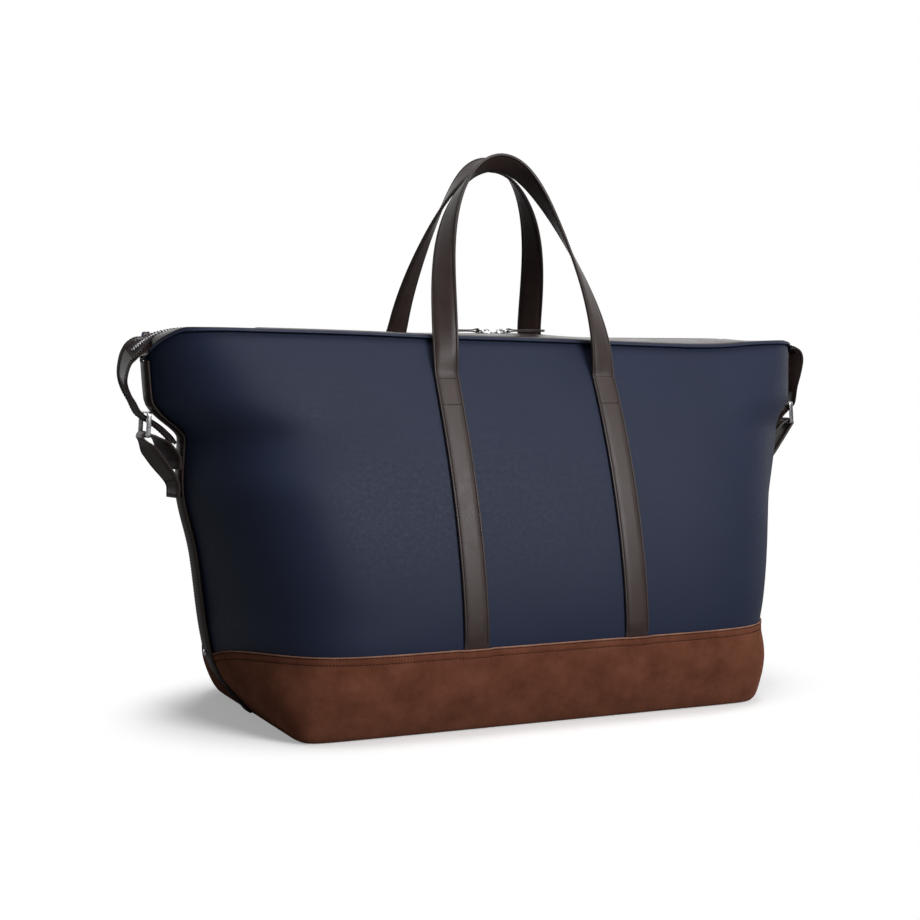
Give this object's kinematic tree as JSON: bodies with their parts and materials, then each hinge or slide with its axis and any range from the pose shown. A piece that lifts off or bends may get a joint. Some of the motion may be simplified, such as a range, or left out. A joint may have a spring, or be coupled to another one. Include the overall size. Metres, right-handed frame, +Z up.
{
  "type": "weekender bag",
  "caption": "Soft boat-shaped weekender bag with a suede boot, sewn leather straps and standing handles, winged ends and a zip mouth between folding facings.",
  "frame": {"origin": "middle of the base, on the floor", "axes": "+X along the bag to the right, +Y from front to rear, +Z up"},
  "size_m": [0.7492, 0.3392, 0.5456],
  "materials": {
    "navy_nylon": "fine plain weave with a slight sheen",
    "brown_suede": "napped suede, mottled",
    "brown_leather": "smooth dark brown leather with a soft gloss",
    "lining_cloth": "matt lining cloth",
    "fibreboard": "plain board",
    "zip_cloth": "woven zip tape",
    "nickel": "polished nickel plate"
  },
  "bodies": {
    "bag": {"base_panel": "brown_leather", "base_board": "fibreboard", "lining": "lining_cloth", "front_boot": "brown_suede", "rear_boot": "brown_suede", "front_panel": "navy_nylon", "rear_panel": "navy_nylon", "left_seam_strip": "brown_leather", "right_seam_strip": "brown_leather", "left_rivet": "nickel", "right_rivet": "nickel", "left_chape": "brown_leather", "right_chape": "brown_leather", "left_tail": "brown_leather", "right_tail": "brown_leather", "left_zip_end": "zip_cloth", "right_zip_end": "zip_cloth", "front_left_strap": "brown_leather", "front_right_strap": "brown_leather", "rear_left_strap": "brown_leather", "rear_right_strap": "brown_leather"},
    "front_lip": {"front_facing": "brown_leather", "front_zip_tape": "zip_cloth", "front_zip_teeth": "nickel"},
    "rear_lip": {"rear_facing": "brown_leather", "rear_zip_tape": "zip_cloth", "rear_zip_teeth": "nickel"},
    "left_slider": {"left_slider": "nickel"},
    "right_slider": {"right_slider": "nickel"},
    "left_pull": {"left_pull_ring": "nickel", "left_pull_tab": "brown_leather"},
    "right_pull": {"right_pull_ring": "nickel", "right_pull_tab": "brown_leather"},
    "left_end_ring": {"left_ring": "nickel"},
    "right_end_ring": {"right_ring": "nickel"},
    "front_handle": {"front_handle": "brown_leather"},
    "rear_handle": {"rear_handle": "brown_leather"}
  },
  "joints": [
    {"name": "right_slider", "type": "slide", "parent": "bag", "child": "right_slider", "axis": [1, 0, 0], "range_m": [0, 0.24], "deforming": ["front_zip_tape", "rear_zip_tape", "front_zip_teeth", "rear_zip_teeth"]},
    {"name": "left_slider", "type": "slide", "parent": "bag", "child": "left_slider", "axis": [-1, 0, 0], "range_m": [0, 0.24]},
    {"name": "front_lip", "type": "hinge", "parent": "bag", "child": "front_lip", "pos_m": [0, -0.0774, 0.3648], "axis": [-1, 0, 0], "range_deg": [0, 70]},
    {"name": "rear_lip", "type": "hinge", "parent": "bag", "child": "rear_lip", "pos_m": [0, 0.0314, 0.3648], "axis": [1, 0, 0], "range_deg": [0, 70]},
    {"name": "left_pull", "type": "hinge", "parent": "left_slider", "child": "left_pull", "pos_m": [-0.0082, -0.023, 0.37615], "axis": [0, 1, 0], "range_deg": [0, 90]},
    {"name": "right_pull", "type": "hinge", "parent": "right_slider", "child": "right_pull", "pos_m": [0.0082, -0.023, 0.37615], "axis": [0, -1, 0], "range_deg": [0, 90]},
    {"name": "left_end_ring", "type": "hinge", "parent": "bag", "child": "left_end_ring", "pos_m": [-0.356, -0.01969, 0.2775], "axis": [0, 1, 0], "range_deg": [-4, 7]},
    {"name": "right_end_ring", "type": "hinge", "parent": "bag", "child": "right_end_ring", "pos_m": [0.3525, -0.01969, 0.2775], "axis": [0, -1, 0], "range_deg": [-1.5, 7]},
    {"name": "front_handle", "type": "hinge", "parent": "bag", "child": "front_handle", "pos_m": [0, -0.09958, 0.331], "axis": [1, 0, 0], "range_deg": [0, 112]},
    {"name": "rear_handle", "type": "hinge", "parent": "bag", "child": "rear_handle", "pos_m": [0, 0.05463, 0.331], "axis": [-1, 0, 0], "range_deg": [0, 112]}
  ],
  "couplings": [
    {"joint": "left_slider", "follows": "right_slider", "ratio": 1},
    {"joint": "front_lip", "follows": "right_slider", "rad_per_m": 5.0905},
    {"joint": "rear_lip", "follows": "right_slider", "rad_per_m": 5.0905}
  ]
}
